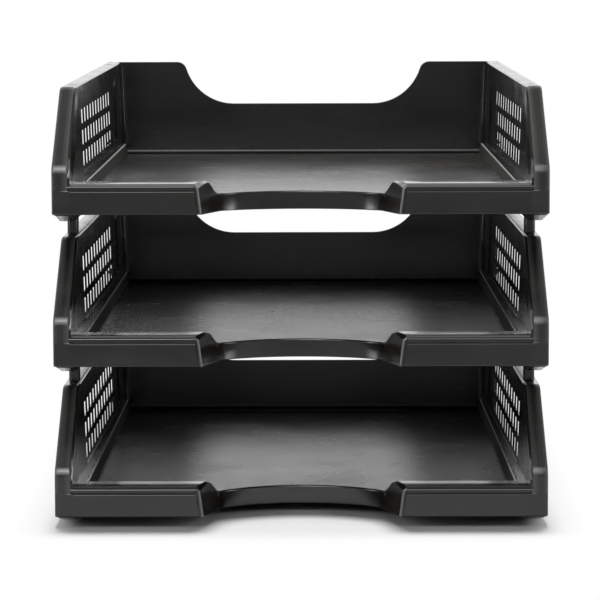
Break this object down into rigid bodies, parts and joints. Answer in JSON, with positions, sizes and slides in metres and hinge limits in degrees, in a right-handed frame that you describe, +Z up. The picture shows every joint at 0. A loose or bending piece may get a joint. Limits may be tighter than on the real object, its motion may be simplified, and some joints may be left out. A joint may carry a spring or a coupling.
{
  "type": "stacking document tray",
  "caption": "Stack of open-front black plastic document trays on plug-in risers, each with a finger recess in its lip, windowed side walls and a notched back, for A4 paper.",
  "frame": {"origin": "on the table, under the middle of the stack's box", "axes": "+Z up, -Y towards the open front, +X to the right as seen from the front"},
  "size_m": [0.255, 0.327, 0.226],
  "materials": {
    "tray_plastic": "semi-gloss moulded black with a fine grain on the floor",
    "riser_plastic": "semi-gloss moulded black"
  },
  "bodies": {
    "bottom_tier": {"bottom_tray": "tray_plastic", "lower_riser_front_left": "riser_plastic", "lower_riser_front_right": "riser_plastic", "lower_riser_back_left": "riser_plastic", "lower_riser_back_right": "riser_plastic"},
    "middle_tier": {"middle_tray": "tray_plastic", "upper_riser_front_left": "riser_plastic", "upper_riser_front_right": "riser_plastic", "upper_riser_back_left": "riser_plastic", "upper_riser_back_right": "riser_plastic"},
    "top_tier": {"top_tray": "tray_plastic"}
  },
  "joints": [
    {"name": "middle_tray_lift", "type": "slide", "parent": "bottom_tier", "child": "middle_tier", "axis": [0, 0, 1], "range_m": [0, 0.05]},
    {"name": "top_tray_lift", "type": "slide", "parent": "middle_tier", "child": "top_tier", "axis": [0, 0, 1], "range_m": [0, 0.05]}
  ]
}
